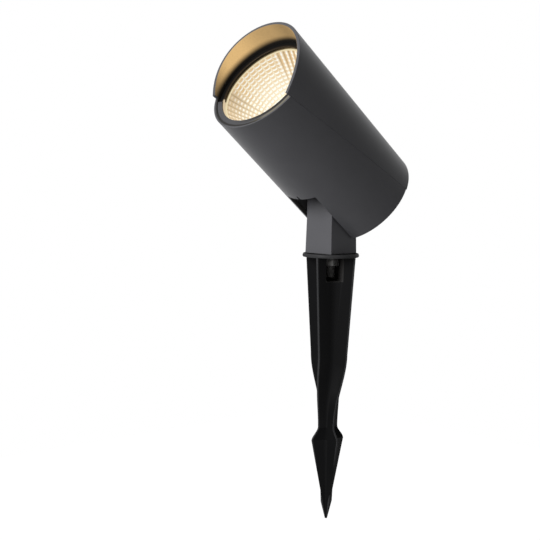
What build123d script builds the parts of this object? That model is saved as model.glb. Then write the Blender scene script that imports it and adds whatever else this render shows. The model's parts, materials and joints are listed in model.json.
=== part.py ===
"""Garden spotlight on a ground spike.

Millimetres, +Z up. The origin is the centre of the collar's underside, at ground level.
The head shines towards -Y and upwards, and it tilts about an axis along X.
"""
import math
import os

from build123d import *

# General fits
slide_gap = 0.1
thread_gap = 0.05
seam_gap = 0.12
face_gap = 0.05
drill_spare = 1.0
cut_margin = 1.0

# Ground spike
collar_radius = 19.4
collar_thickness = 2.4
collar_chamfer = 0.5
blade_reach_top = 19.1
blade_reach_middle = 14.2
blade_reach_neck = 7.7
blade_reach_barb = 12.8
blade_reach_nose = 4.7
blade_reach_nose_end = 4.3
blade_reach_tip = 0.8
depth_middle = 67.0
depth_neck = 118.0
depth_barb = 127.2
depth_nose = 163.0
depth_nose_end = 171.0
spike_length = 183.2
blade_edge = 1.2
blade_edge_share = 0.3
valley_share = 0.45
valley_round = 0.3
blade_turn_top = 15.4
blade_turn_tip = -12.3
neck_steps = 5
barb_steps = 4

# Stud, nut and washer that hold the post on the collar
stud_radius = 3.0
stud_below_collar = 15.0
stud_in_post = 16.0
stud_chamfer = 0.6
m6_nut_width = 10.0
m6_nut_height = 5.0
m6_washer_radius = 5.8
m6_washer_thickness = 1.2
nut_pocket_gap = 1.0
nut_pocket_height = 16.6
nut_pocket_round = 1.5

# Post
post_width = 24.0
post_foot_spread = 1.0
post_taper = 24.0
post_chamfer = 0.4
pivot_rise = 35.9

# Head
head_tilt = 38.0
head_radius = 38.0
shell_wall = 2.3
axis_above_pivot = 20.0
lower_front = 100.3
lower_back = -21.5
visor_back = -22.4
visor_reach_top = 15.0
visor_reach_seam = 3.5
visor_edge_bow = 2.2
seam_height_front = -13.3
seam_height_back = 7.8
flange_bore = 31.8
flange_recess = 0.4
flange_thickness = 1.0
slot_side_gap = 1.4
slot_front = 25.1
slot_corner = 1.2
drain_slit_length = 3.0
drain_slit_width = 1.4

# Housing core
core_gap = 0.35
core_back = -13.5
spigot_start = 86.0
spigot_wall = 1.5
led_seat = 58.0
knuckle_clearance = 1.0
cavity_wall = 9.35
cavity_floor_wall = 4.0
cavity_front = 46.0

# Pivot bolt
pivot_radius = 3.0
pivot_head_radius = 5.0
pivot_head_height = 4.5
pivot_socket_width = 5.0
pivot_socket_depth = 3.0
friction_washer_radius = 9.5

# Rear cover, its screws and the lugs of the shells
lug_thickness = 2.5
lug_width = 9.0
lug_depth = 6.1
rear_cover_thickness = 3.0
rear_gasket_thickness = 1.2
rear_gasket_width = 2.6
m3_radius = 1.5
m3_head_radius = 2.7
m3_head_height = 1.9
rear_screw_inset = 3.3
rear_screw_length = 15.0
visor_lug_angle = 40.0
lower_lug_angle = -8.0

# Cable gland
gland_height = 14.0
gland_bore = 3.6
gland_thread = 6.0
gland_hex_width = 15.0
gland_hex_height = 4.0
gland_neck = 6.0
gland_cap_radius = 8.0
gland_cap_wall = 1.6
gland_cap_chamfer = 2.0
gland_seal_length = 2.3
locknut_width = 16.0
locknut_height = 3.0

# Light source
pad_width = 23.0
pad_thickness = 0.4
board_width = 24.0
board_thickness = 1.2
emitter_radius = 8.5
emitter_thickness = 0.6
holder_radius = 22.0
holder_height = 4.4
holder_bore = 9.6
holder_screw_place = 18.5
holder_screw_length = 12.0
lead_radius = 0.8
lead_spread = 6.0
lead_height = 15.5
lead_bend = 4.0

# Reflector, glass and bezel
bezel_gap = 0.3
bezel_lip = 0.8
bezel_opening = 31.4
bezel_wall = 1.3
glass_thickness = 2.0
glass_gasket_thickness = 1.2
reflector_wall = 1.6
reflector_lip_width = 0.8
reflector_lip_thickness = 1.0
reflector_sides = 40
reflector_rings = 14
reflector_shares = (0, 0.15, 0.5)

# Driver
driver_side_gap = 4.0
driver_length = 50.0
driver_thickness = 1.6
rail_height = 3.0
rail_width = 4.0
rail_inset = 4.0
driver_start = -9.0
driver_screw_radius = 1.2
driver_screw_head = 2.2
driver_screw_head_height = 1.2
driver_screw_length = 5.0
driver_screw_inset = 5.0
transformer_width = 18.0
transformer_length = 20.0
transformer_height = 15.0
transformer_chamfer = 1.5
transformer_share = 0.6
transformer_side = 6.0
capacitor_radius = 5.0
capacitor_height = 12.0
capacitor_shares = (0.4, 0.68)
capacitor_side = -11.0
terminal_width = 18.0
terminal_length = 8.0
terminal_height = 9.0
terminal_share = 0.2

# Places that follow from the sizes above
post_foot = collar_thickness
post_shoulder = post_foot + post_taper
post_foot_width = post_width + post_foot_spread
pivot_height = post_foot + pivot_rise
tilt = math.radians(head_tilt)
forward = Vector(0, -math.cos(tilt), math.sin(tilt))
upward = Vector(0, math.sin(tilt), math.cos(tilt))
pivot = Vector(0, 0, pivot_height)
axis_point = pivot + upward * axis_above_pivot
head_axis = Axis(axis_point, forward)
cross_plane = Plane(axis_point, x_dir=(1, 0, 0), z_dir=forward)
side_plane = Plane(axis_point, x_dir=forward, z_dir=(-1, 0, 0))
pivot_plane = Plane(pivot, x_dir=(0, -1, 0), z_dir=(1, 0, 0))

shell_inner = head_radius - shell_wall
cut_reach = head_radius + cut_margin
core_radius = shell_inner - core_gap
cavity_radius = core_radius - cavity_wall
flange_back = lower_front - flange_recess - flange_thickness
bezel_front = flange_back - bezel_gap
glass_front = bezel_front - bezel_lip
glass_back = glass_front - glass_thickness
core_front = glass_back - glass_gasket_thickness
bezel_radius = shell_inner - core_gap
skirt_bore = bezel_radius - bezel_wall
spigot_radius = skirt_bore - slide_gap
optic_radius = spigot_radius - spigot_wall
glass_radius = skirt_bore - 2 * slide_gap
visor_tip = lower_front + visor_reach_top

slot_width = post_width + 2 * slot_side_gap
pocket_half = slot_width / 2
pocket_ceiling = -axis_above_pivot + post_width / 2 + knuckle_clearance
cavity_floor = pocket_ceiling + cavity_floor_wall
nut_corner = m6_nut_width / math.sqrt(3)
pivot_reach = math.sqrt(shell_inner**2 - (axis_above_pivot + nut_corner) ** 2) - seam_gap
pivot_seat = pivot_reach - m6_nut_height - m6_washer_thickness
pivot_grip = pivot_seat + m6_washer_thickness
friction_thickness = pocket_half - post_width / 2 - 2 * face_gap
lug_back = core_back - lug_thickness
cover_back = lug_back - rear_cover_thickness
gasket_back = core_back - rear_gasket_thickness
lug_inner = shell_inner - lug_depth
rear_screw_radius = shell_inner - rear_screw_inset
rear_screw_grip = rear_screw_length - rear_cover_thickness - lug_thickness
gasket_outer = cavity_radius + rear_gasket_width
lug_angles = {
    "visor": (visor_lug_angle, 180 - visor_lug_angle),
    "lower": (lower_lug_angle, 180 - lower_lug_angle),
}
holder_front = led_seat + holder_height
board_front = led_seat + pad_thickness + board_thickness
reflector_back = holder_front + slide_gap
reflector_front = glass_back - 2 * slide_gap
reflector_mouth = optic_radius - 2 * slide_gap - reflector_lip_width
reflector_throat = holder_bore + 2 * slide_gap
driver_width = 2 * (cavity_radius - driver_side_gap)
rail_place = driver_width / 2 - rail_inset
rail_top = cavity_floor + rail_height
driver_top = rail_top + driver_thickness
driver_screw_places = (
    (driver_start + driver_screw_inset, -rail_place),
    (driver_start + driver_length - driver_screw_inset, rail_place),
)
nut_pocket_half = m6_nut_width / 2 + nut_pocket_gap
nut_pocket_turn = blade_turn_top - 45


def head_section(station):
    """Plane across the head, at a distance along its axis from the pivot."""
    return cross_plane.offset(station)


def star_points(reach):
    """Outline of the four blades: blunt edges, with a valley between each two."""
    half_edge = min(blade_edge / 2, blade_edge_share * reach)
    valley = valley_share * reach
    points = []
    for quarter in range(4):
        turn = math.radians(90 * quarter)
        across = Vector(-math.sin(turn), math.cos(turn))
        along = Vector(math.cos(turn), math.sin(turn))
        points.append(along * reach - across * half_edge)
        points.append(along * reach + across * half_edge)
        diagonal = (along + across) * math.sqrt(0.5)
        points.append(diagonal * valley)
    return points


def blade_section(depth, reach, turn):
    """Section of the spike at a depth, with its valleys rounded."""
    with BuildSketch(Plane.XY.offset(-depth).rotated((0, 0, turn))) as section:
        with BuildLine():
            Polyline(*star_points(reach), close=True)
        make_face()
        fillet(section.vertices().sort_by_distance((0, 0, 0))[:4], valley_round * reach)
    return section.sketch


def ease(share):
    """Share of a change that starts and ends softly."""
    return share**2 * (3 - 2 * share)


def neck_section(share):
    """Section of the waist, where the blades turn and grow narrow."""
    depth = depth_middle + (depth_neck - depth_middle) * share
    reach = blade_reach_middle + (blade_reach_neck - blade_reach_middle) * ease(share)
    turn = blade_turn_top + (blade_turn_tip - blade_turn_top) * ease(share)
    return blade_section(depth, reach, turn)


def barb_section(share):
    """Section of the flare from the waist out to the barbs."""
    depth = depth_neck + (depth_barb - depth_neck) * share
    reach = blade_reach_neck + (blade_reach_barb - blade_reach_neck) * ease(share)
    return blade_section(depth, reach, blade_turn_tip)


# Cutter for the side pocket of the nut, with rounded lower edges
with BuildPart() as nut_pocket:
    with BuildSketch(Plane.XY.rotated((0, 0, nut_pocket_turn)).offset(-nut_pocket_height)):
        with Locations((collar_radius / 2, 0)):
            Rectangle(collar_radius, 2 * nut_pocket_half)
        Circle(nut_pocket_half)
    extrude(amount=nut_pocket_height)
    fillet(nut_pocket.edges().group_by(Axis.Z)[0], nut_pocket_round)

# Ground spike: tapered blades that turn at the waist, barbs, nose, collar and nut pocket
neck_sections = [neck_section(step / neck_steps) for step in range(neck_steps + 1)]
barb_sections = [barb_section(step / barb_steps) for step in range(barb_steps + 1)]
with BuildPart() as ground_spike:
    loft([blade_section(0, blade_reach_top, blade_turn_top), neck_sections[0]], ruled=True)
    loft(neck_sections)
    loft(barb_sections)
    nose_sections = [
        barb_sections[-1],
        blade_section(depth_nose, blade_reach_nose, blade_turn_tip),
        blade_section(depth_nose_end, blade_reach_nose_end, blade_turn_tip),
        blade_section(spike_length, blade_reach_tip, blade_turn_tip),
    ]
    loft(nose_sections, ruled=True)
    with BuildSketch(Plane.XY):
        Circle(collar_radius)
    extrude(amount=collar_thickness)
    collar_rims = ground_spike.edges().filter_by(GeomType.CIRCLE)
    chamfer(collar_rims.sort_by(Axis.Z)[-1], collar_chamfer)
    add(nut_pocket.part, mode=Mode.SUBTRACT)
    with Locations((0, 0, collar_thickness)):
        Hole(stud_radius + slide_gap, collar_thickness)
ground_spike.part.label = "ground_spike"

with BuildPart() as spike_washer:
    with BuildSketch(Plane.XY.offset(-m6_washer_thickness)):
        Circle(m6_washer_radius)
        Circle(stud_radius + slide_gap, mode=Mode.SUBTRACT)
    extrude(amount=m6_washer_thickness - face_gap)
spike_washer.part.label = "spike_washer"

with BuildPart() as spike_nut:
    with BuildSketch(Plane.XY.offset(-m6_washer_thickness - m6_nut_height)):
        RegularPolygon(m6_nut_width / 2, 6, major_radius=False)
        Circle(stud_radius + thread_gap, mode=Mode.SUBTRACT)
    extrude(amount=m6_nut_height)
spike_nut.part.label = "spike_nut"

with BuildPart() as spike_stud:
    with BuildSketch(Plane.XY.offset(-stud_below_collar)):
        Circle(stud_radius)
    extrude(amount=stud_below_collar + post_foot + stud_in_post)
    chamfer(spike_stud.edges().filter_by(GeomType.CIRCLE), stud_chamfer)
spike_stud.part.label = "spike_stud"

# Post: square section with a round knuckle on top, wider towards its foot
with BuildPart() as post:
    with BuildSketch(Plane.YZ.offset(-post_width / 2)):
        with Locations((0, (post_shoulder + pivot_height) / 2)):
            Rectangle(post_width, pivot_height - post_shoulder)
        with Locations((0, pivot_height)):
            Circle(post_width / 2)
    extrude(amount=post_width)
    chamfer(post.edges().filter_by(Axis.Z), post_chamfer)
    for level, width in ((post_foot, post_foot_width), (post_shoulder, post_width)):
        with BuildSketch(Plane.XY.offset(level)) as outline:
            Rectangle(width, width)
            chamfer(outline.vertices(), post_chamfer)
    loft()
    with BuildSketch(pivot_plane.offset(-post_width)):
        Circle(pivot_radius + slide_gap)
    extrude(amount=2 * post_width, mode=Mode.SUBTRACT)
    with BuildSketch(Plane.XY.offset(post_foot)):
        Circle(stud_radius + thread_gap)
    extrude(amount=stud_in_post + drill_spare, mode=Mode.SUBTRACT)
post.part.label = "post"

# Tilt pivot: bolt across the knuckle, nut, steel washers and friction washers
with BuildPart() as pivot_bolt:
    with BuildSketch(pivot_plane.offset(-pivot_grip - m6_nut_height)):
        Circle(pivot_radius)
    extrude(amount=2 * pivot_grip + m6_nut_height)
    with BuildSketch(pivot_plane.offset(pivot_grip)):
        Circle(pivot_head_radius)
    extrude(amount=pivot_head_height)
    with BuildSketch(pivot_plane.offset(pivot_grip + pivot_head_height - pivot_socket_depth)):
        RegularPolygon(pivot_socket_width / 2, 6, major_radius=False)
    extrude(amount=pivot_socket_depth, mode=Mode.SUBTRACT)
pivot_bolt.part.label = "pivot_bolt"

with BuildPart() as pivot_nut:
    with BuildSketch(pivot_plane.offset(-pivot_grip - m6_nut_height)):
        RegularPolygon(m6_nut_width / 2, 6, major_radius=False, rotation=head_tilt)
        Circle(pivot_radius + thread_gap, mode=Mode.SUBTRACT)
    extrude(amount=m6_nut_height)
pivot_nut.part.label = "pivot_nut"

with BuildPart() as pivot_washers:
    for start in (-pivot_grip, pivot_seat):
        with BuildSketch(pivot_plane.offset(start)):
            Circle(m6_washer_radius)
            Circle(pivot_radius + slide_gap, mode=Mode.SUBTRACT)
    extrude(amount=m6_washer_thickness)
pivot_washers.part.label = "pivot_washers"

with BuildPart() as friction_washers:
    for start in (-pocket_half + face_gap, post_width / 2 + face_gap):
        with BuildSketch(pivot_plane.offset(start)):
            Circle(friction_washer_radius)
            Circle(pivot_radius + slide_gap, mode=Mode.SUBTRACT)
    extrude(amount=friction_thickness)
friction_washers.part.label = "friction_washers"


def seam_height(station):
    """Height of the slanted joint between the two shells at a place along the head."""
    slope = (seam_height_front - seam_height_back) / (lower_front - lower_back)
    return seam_height_back + slope * (station - lower_back)


def shell_lugs(angles):
    """Sketch of a shell's inner lugs, each with its screw hole."""
    lug_middle = (lug_inner + shell_inner + shell_wall / 2) / 2
    for angle in angles:
        with PolarLocations(lug_middle, 1, angle):
            Rectangle(lug_depth + shell_wall / 2, lug_width)
        with PolarLocations(rear_screw_radius, 1, angle):
            Circle(m3_radius + slide_gap, mode=Mode.SUBTRACT)


# Visor shell: the upper half tube, cut by the slanted seam and the bowed front edge
visor_foot = lower_front + visor_reach_seam
with BuildPart() as visor_shell:
    with BuildSketch(head_section(visor_back)):
        Circle(head_radius)
        Circle(shell_inner, mode=Mode.SUBTRACT)
    extrude(amount=visor_tip - visor_back + cut_margin)
    with BuildSketch(side_plane):
        with BuildLine():
            foot = (visor_foot, seam_height(visor_foot) + seam_gap / 2)
            peak = (visor_tip, cut_reach)
            middle_s = (foot[0] + peak[0]) / 2 + visor_edge_bow
            middle_h = (foot[1] + peak[1]) / 2
            heel = (visor_back, seam_height(visor_back) + seam_gap / 2)
            ThreePointArc(foot, (middle_s, middle_h), peak)
            Polyline(peak, (visor_back, cut_reach), heel, foot)
        make_face()
    extrude(amount=cut_reach, both=True, mode=Mode.INTERSECT)
    with BuildSketch(head_section(lug_back)):
        shell_lugs(lug_angles["visor"])
    extrude(amount=lug_thickness)
visor_shell.part.label = "visor_shell"

# Lower shell: half tube with a flange inside the front rim and the open slot for the knuckle
with BuildPart() as lower_shell:
    with BuildSketch(head_section(lower_back)):
        Circle(head_radius)
        Circle(shell_inner, mode=Mode.SUBTRACT)
    extrude(amount=lower_front - lower_back)
    with BuildSketch(head_section(flange_back)):
        Circle(shell_inner + shell_wall / 2)
        Circle(flange_bore, mode=Mode.SUBTRACT)
    extrude(amount=flange_thickness)
    with BuildSketch(side_plane):
        with BuildLine():
            Polyline(
                (lower_back, seam_height(lower_back) - seam_gap / 2),
                (lower_front, seam_height(lower_front) - seam_gap / 2),
                (lower_front, -cut_reach),
                (lower_back, -cut_reach),
                close=True,
            )
        make_face()
    extrude(amount=cut_reach, both=True, mode=Mode.INTERSECT)
    slot_plane = Plane(axis_point, x_dir=forward, z_dir=-upward)
    with BuildSketch(slot_plane):
        with Locations((lower_back, 0)):
            RectangleRounded(2 * (slot_front - lower_back), slot_width, slot_corner)
        with Locations((slot_front, 0)):
            Rectangle(2 * drain_slit_length, drain_slit_width)
    extrude(amount=cut_reach, mode=Mode.SUBTRACT)
    with BuildSketch(head_section(lug_back)):
        shell_lugs(lug_angles["lower"])
    extrude(amount=lug_thickness)
lower_shell.part.label = "lower_shell"


def round_with_floor(radius, floor):
    """Sketch of a circle that is cut flat below."""
    Circle(radius)
    with Locations((0, floor + radius)):
        Rectangle(2 * radius, 2 * radius, mode=Mode.INTERSECT)


# Housing core: heat sink and carrier, with optic chamber, driver chamber and knuckle pocket
with BuildPart() as housing_core:
    with BuildSketch(head_section(core_back)):
        Circle(core_radius)
    extrude(amount=spigot_start - core_back)
    with BuildSketch(head_section(spigot_start)):
        Circle(spigot_radius)
    extrude(amount=core_front - spigot_start)
    with BuildSketch(head_section(led_seat)):
        Circle(optic_radius)
    extrude(amount=core_front - led_seat, mode=Mode.SUBTRACT)
    with BuildSketch(head_section(core_back)):
        round_with_floor(cavity_radius, cavity_floor)
    extrude(amount=cavity_front - core_back, mode=Mode.SUBTRACT)
    with BuildSketch(head_section(driver_start)):
        for side in (-rail_place, rail_place):
            with Locations((side, cavity_floor + rail_height / 2)):
                Rectangle(rail_width, rail_height)
    extrude(amount=driver_length)
    with BuildSketch(head_section(core_back)):
        with Locations((0, pocket_ceiling - head_radius / 2)):
            Rectangle(slot_width, head_radius)
    extrude(amount=slot_front - core_back, mode=Mode.SUBTRACT)
    with BuildSketch(pivot_plane.offset(-head_radius)):
        Circle(pivot_radius + slide_gap)
    extrude(amount=2 * head_radius, mode=Mode.SUBTRACT)
    for start in (-head_radius, pivot_seat):
        with BuildSketch(pivot_plane.offset(start)):
            Circle(m6_washer_radius + nut_pocket_gap)
        extrude(amount=head_radius - pivot_seat, mode=Mode.SUBTRACT)
    with BuildSketch(head_section(core_back)):
        for angle in lug_angles["visor"] + lug_angles["lower"]:
            with PolarLocations(rear_screw_radius, 1, angle):
                Circle(m3_radius + thread_gap)
    extrude(amount=rear_screw_grip + drill_spare, mode=Mode.SUBTRACT)
    with BuildSketch(head_section(led_seat)):
        with Locations((-holder_screw_place, 0), (holder_screw_place, 0)):
            Circle(m3_radius + thread_gap)
    extrude(amount=holder_height - holder_screw_length - drill_spare, mode=Mode.SUBTRACT)
    with BuildSketch(head_section(cavity_front)):
        with Locations((-lead_spread / 2, lead_height), (lead_spread / 2, lead_height)):
            Circle(lead_radius + 2 * slide_gap)
    extrude(amount=led_seat - cavity_front, mode=Mode.SUBTRACT)
    with BuildSketch(Plane(axis_point + upward * rail_top, x_dir=forward, z_dir=upward)):
        with Locations(*driver_screw_places):
            Circle(driver_screw_radius + thread_gap)
    extrude(amount=driver_thickness - driver_screw_length - slide_gap, mode=Mode.SUBTRACT)
housing_core.part.label = "housing_core"

# Rear cover, its gasket and the screws that also hold the shells
with BuildPart() as rear_cover:
    with BuildSketch(head_section(cover_back)):
        Circle(core_radius)
        with Locations((0, pocket_ceiling - head_radius / 2)):
            Rectangle(slot_width, head_radius, mode=Mode.SUBTRACT)
        for angle in lug_angles["visor"] + lug_angles["lower"]:
            with PolarLocations(rear_screw_radius, 1, angle):
                Circle(m3_radius + slide_gap, mode=Mode.SUBTRACT)
    extrude(amount=rear_cover_thickness)
    with BuildSketch(head_section(lug_back)):
        round_with_floor(gasket_outer, cavity_floor - rear_gasket_width)
    extrude(amount=lug_thickness - rear_gasket_thickness)
    with BuildSketch(head_section(cover_back)):
        with Locations((0, gland_height)):
            Circle(gland_thread + slide_gap)
    extrude(amount=rear_cover_thickness + lug_thickness, mode=Mode.SUBTRACT)
rear_cover.part.label = "rear_cover"

with BuildPart() as rear_gasket:
    with BuildSketch(head_section(gasket_back)):
        round_with_floor(gasket_outer, cavity_floor - rear_gasket_width)
    extrude(amount=rear_gasket_thickness)
    with BuildSketch(head_section(gasket_back)):
        round_with_floor(cavity_radius, cavity_floor)
    extrude(amount=rear_gasket_thickness, mode=Mode.SUBTRACT)
rear_gasket.part.label = "rear_gasket"

with BuildPart() as rear_screws:
    for angle in lug_angles["visor"] + lug_angles["lower"]:
        with BuildSketch(head_section(cover_back)):
            with PolarLocations(rear_screw_radius, 1, angle):
                Circle(m3_radius)
        extrude(amount=rear_screw_length)
        with BuildSketch(head_section(cover_back - m3_head_height)):
            with PolarLocations(rear_screw_radius, 1, angle):
                Circle(m3_head_radius)
        extrude(amount=m3_head_height)
rear_screws.part.label = "rear_screws"

# Cable gland on the rear cover
gland_hex_back = cover_back - gland_hex_height
gland_neck_back = gland_hex_back - gland_neck
gland_seal_front = gland_neck_back - slide_gap
gland_seal_back = gland_seal_front - gland_seal_length
gland_cap_back = gland_seal_back - slide_gap - gland_cap_wall
locknut_back = gasket_back
gland_front = locknut_back + locknut_height
gland_center = (0, gland_height)

with BuildPart() as cable_gland_body:
    with BuildSketch(head_section(gland_neck_back)):
        with Locations(gland_center):
            Circle(gland_thread)
    extrude(amount=gland_front - gland_neck_back)
    with BuildSketch(head_section(gland_hex_back)):
        with Locations(gland_center):
            RegularPolygon(gland_hex_width / 2, 6, major_radius=False)
    extrude(amount=gland_hex_height)
    with BuildSketch(head_section(gland_neck_back)):
        with Locations(gland_center):
            Circle(gland_bore)
    extrude(amount=gland_front - gland_neck_back, mode=Mode.SUBTRACT)
cable_gland_body.part.label = "cable_gland_body"

with BuildPart() as cable_gland_locknut:
    with BuildSketch(head_section(locknut_back)):
        with Locations(gland_center):
            RegularPolygon(locknut_width / 2, 6, major_radius=False)
            Circle(gland_thread + thread_gap, mode=Mode.SUBTRACT)
    extrude(amount=locknut_height)
cable_gland_locknut.part.label = "cable_gland_locknut"

with BuildPart() as cable_gland_seal:
    with BuildSketch(head_section(gland_seal_back)):
        with Locations(gland_center):
            Circle(gland_thread)
            Circle(gland_bore, mode=Mode.SUBTRACT)
    extrude(amount=gland_seal_length)
cable_gland_seal.part.label = "cable_gland_seal"

with BuildPart() as cable_gland_nut:
    with BuildSketch(head_section(gland_cap_back)):
        with Locations(gland_center):
            Circle(gland_cap_radius)
    extrude(amount=gland_hex_back - slide_gap - gland_cap_back)
    cap_rim = cable_gland_nut.edges().filter_by(GeomType.CIRCLE).sort_by(head_axis)[0]
    chamfer(cap_rim, gland_cap_chamfer)
    with BuildSketch(head_section(gland_seal_back - slide_gap)):
        with Locations(gland_center):
            Circle(gland_thread + slide_gap)
    extrude(amount=gland_hex_back - gland_seal_back, mode=Mode.SUBTRACT)
    with BuildSketch(head_section(gland_cap_back)):
        with Locations(gland_center):
            Circle(gland_bore)
    extrude(amount=gland_cap_wall + drill_spare, mode=Mode.SUBTRACT)
cable_gland_nut.part.label = "cable_gland_nut"

# Light source on the seat of the core
with BuildPart() as thermal_pad:
    with BuildSketch(head_section(led_seat)):
        Rectangle(pad_width, pad_width)
    extrude(amount=pad_thickness)
thermal_pad.part.label = "thermal_pad"

with BuildPart() as led_board:
    with BuildSketch(head_section(led_seat + pad_thickness)):
        Rectangle(board_width, board_width)
    extrude(amount=board_thickness)
led_board.part.label = "led_board"

with BuildPart() as led_emitter:
    with BuildSketch(head_section(board_front)):
        Circle(emitter_radius)
    extrude(amount=emitter_thickness)
led_emitter.part.label = "led_emitter"

with BuildPart() as led_holder:
    with BuildSketch(head_section(led_seat)):
        Circle(holder_radius)
        Circle(holder_bore, mode=Mode.SUBTRACT)
        with Locations((-holder_screw_place, 0), (holder_screw_place, 0)):
            Circle(m3_radius + slide_gap, mode=Mode.SUBTRACT)
    extrude(amount=holder_height)
    with BuildSketch(head_section(led_seat)):
        Rectangle(board_width + 4 * slide_gap, board_width + 4 * slide_gap)
    extrude(amount=board_front - led_seat + slide_gap, mode=Mode.SUBTRACT)
    with BuildSketch(head_section(led_seat)):
        with Locations((-lead_spread / 2, lead_height), (lead_spread / 2, lead_height)):
            Circle(lead_radius + 2 * slide_gap)
    extrude(amount=holder_height / 2, mode=Mode.SUBTRACT)
led_holder.part.label = "led_holder"

with BuildPart() as led_holder_screws:
    for side in (-holder_screw_place, holder_screw_place):
        with BuildSketch(head_section(holder_front)):
            with Locations((side, 0)):
                Circle(m3_radius)
        extrude(amount=-holder_screw_length)
        with BuildSketch(head_section(holder_front)):
            with Locations((side, 0)):
                Circle(m3_head_radius)
        extrude(amount=m3_head_height)
led_holder_screws.part.label = "led_holder_screws"

lead_start = driver_start + driver_length - lead_bend
with BuildPart() as led_leads:
    for side in (-lead_spread / 2, lead_spread / 2):
        lead_plane = side_plane.offset(side)
        with BuildLine(lead_plane) as lead_path:
            Polyline(
                (lead_start, driver_top),
                (lead_start, lead_height - lead_bend),
                (lead_start + lead_bend, lead_height),
                (led_seat + holder_height / 2 - slide_gap, lead_height),
            )
        with BuildSketch(Plane(lead_path.line @ 0, z_dir=lead_path.line % 0)):
            Circle(lead_radius)
        sweep(path=lead_path.line, transition=Transition.RIGHT)
led_leads.part.label = "led_leads"


def reflector_radius(share):
    """Radius of the mirror at a share of its depth, along a parabola."""
    throat_square = reflector_throat**2
    return math.sqrt(throat_square + (reflector_mouth**2 - throat_square) * share)


def reflector_outside(share):
    """Point of the outer wall, in the side plane, at a share of the mirror's depth."""
    return (reflector_back + reflector_depth * share, reflector_radius(share) + reflector_wall)


def mirror_ring(ring):
    """Cutter for one ring of flat mirror cells: a prism whose sides lean out to the next ring."""
    start = head_section(reflector_back + ring * ring_depth)
    inner = reflector_radius(ring / reflector_rings)
    outer = reflector_radius((ring + 1) / reflector_rings)
    widening = math.atan((outer - inner) * math.cos(math.pi / reflector_sides) / ring_depth)
    with BuildPart() as cutter:
        with BuildSketch(start):
            RegularPolygon(inner, reflector_sides)
        extrude(amount=ring_depth)
        cells = cutter.faces().sort_by(head_axis)[1:-1]
        draft(cells, neutral_plane=start, angle=-math.degrees(widening))
    return cutter.part


# Reflector: a faceted parabolic mirror with a flat lip behind the glass
reflector_depth = reflector_front - reflector_back
ring_depth = reflector_depth / reflector_rings
mirror_rings = [mirror_ring(ring) for ring in range(reflector_rings)]
with BuildPart() as reflector:
    with BuildSketch(side_plane):
        with BuildLine():
            Polyline(
                (reflector_back, 0),
                *[reflector_outside(share) for share in reflector_shares],
                (reflector_front, reflector_mouth + reflector_lip_width),
                (reflector_front, 0),
                close=True,
            )
        make_face()
    revolve(axis=head_axis)
    with BuildSketch(head_section(reflector_front - reflector_lip_thickness)):
        Circle(reflector_mouth + reflector_lip_width)
    extrude(amount=reflector_lip_thickness)
    add(mirror_rings, mode=Mode.SUBTRACT)
reflector.part.label = "reflector"

# Front glass, its gasket and the bezel ring that clamps them on the spigot
with BuildPart() as glass_gasket:
    with BuildSketch(head_section(core_front)):
        Circle(spigot_radius - slide_gap)
        Circle(optic_radius + slide_gap, mode=Mode.SUBTRACT)
    extrude(amount=glass_gasket_thickness)
glass_gasket.part.label = "glass_gasket"

with BuildPart() as front_glass:
    with BuildSketch(head_section(glass_back)):
        Circle(glass_radius)
    extrude(amount=glass_thickness)
front_glass.part.label = "front_glass"

with BuildPart() as bezel_ring:
    with BuildSketch(head_section(spigot_start)):
        Circle(bezel_radius)
        Circle(skirt_bore, mode=Mode.SUBTRACT)
    extrude(amount=bezel_front - spigot_start)
    with BuildSketch(head_section(glass_front)):
        Circle(bezel_radius)
        Circle(bezel_opening, mode=Mode.SUBTRACT)
    extrude(amount=bezel_lip)
bezel_ring.part.label = "bezel_ring"

# Driver: board on two rails, with its main components
driver_plane = Plane(axis_point + upward * driver_top, x_dir=forward, z_dir=upward)

with BuildPart() as driver_board:
    with BuildSketch(driver_plane.offset(-driver_thickness)):
        with Locations((driver_start + driver_length / 2, 0)):
            Rectangle(driver_length, driver_width)
        with Locations(*driver_screw_places):
            Circle(driver_screw_radius + slide_gap, mode=Mode.SUBTRACT)
    extrude(amount=driver_thickness)
driver_board.part.label = "driver_board"

with BuildPart() as driver_screws:
    with BuildSketch(driver_plane):
        with Locations(*driver_screw_places):
            Circle(driver_screw_radius)
    extrude(amount=-driver_screw_length)
    with BuildSketch(driver_plane):
        with Locations(*driver_screw_places):
            Circle(driver_screw_head)
    extrude(amount=driver_screw_head_height)
driver_screws.part.label = "driver_screws"

transformer_place = (driver_start + transformer_share * driver_length, transformer_side)
with BuildPart() as driver_transformer:
    with BuildSketch(driver_plane):
        with Locations(transformer_place):
            Rectangle(transformer_length, transformer_width)
    extrude(amount=transformer_height)
    chamfer(driver_transformer.edges().filter_by(Axis(axis_point, upward)), transformer_chamfer)
driver_transformer.part.label = "driver_transformer"

with BuildPart() as driver_capacitors:
    for share in capacitor_shares:
        with BuildSketch(driver_plane):
            with Locations((driver_start + share * driver_length, capacitor_side)):
                Circle(capacitor_radius)
    extrude(amount=capacitor_height)
driver_capacitors.part.label = "driver_capacitors"

with BuildPart() as driver_terminals:
    with BuildSketch(driver_plane):
        with Locations((driver_start + terminal_share * driver_length, 0)):
            Rectangle(terminal_length, terminal_width)
    extrude(amount=terminal_height)
driver_terminals.part.label = "driver_terminals"

pieces = [
    ground_spike, spike_stud, spike_nut, spike_washer, post,
    pivot_bolt, pivot_nut, pivot_washers, friction_washers,
    lower_shell, visor_shell, housing_core, rear_cover, rear_gasket, rear_screws,
    cable_gland_body, cable_gland_nut, cable_gland_seal, cable_gland_locknut,
    thermal_pad, led_board, led_emitter, led_holder, led_holder_screws, led_leads,
    reflector, glass_gasket, front_glass, bezel_ring,
    driver_board, driver_screws, driver_transformer, driver_capacitors, driver_terminals,
]
os.makedirs("parts", exist_ok=True)
for piece in pieces:
    export_step(piece.part, f"parts/{piece.part.label}.step")
    print(piece.part.label, round(piece.part.volume, 1))
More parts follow.
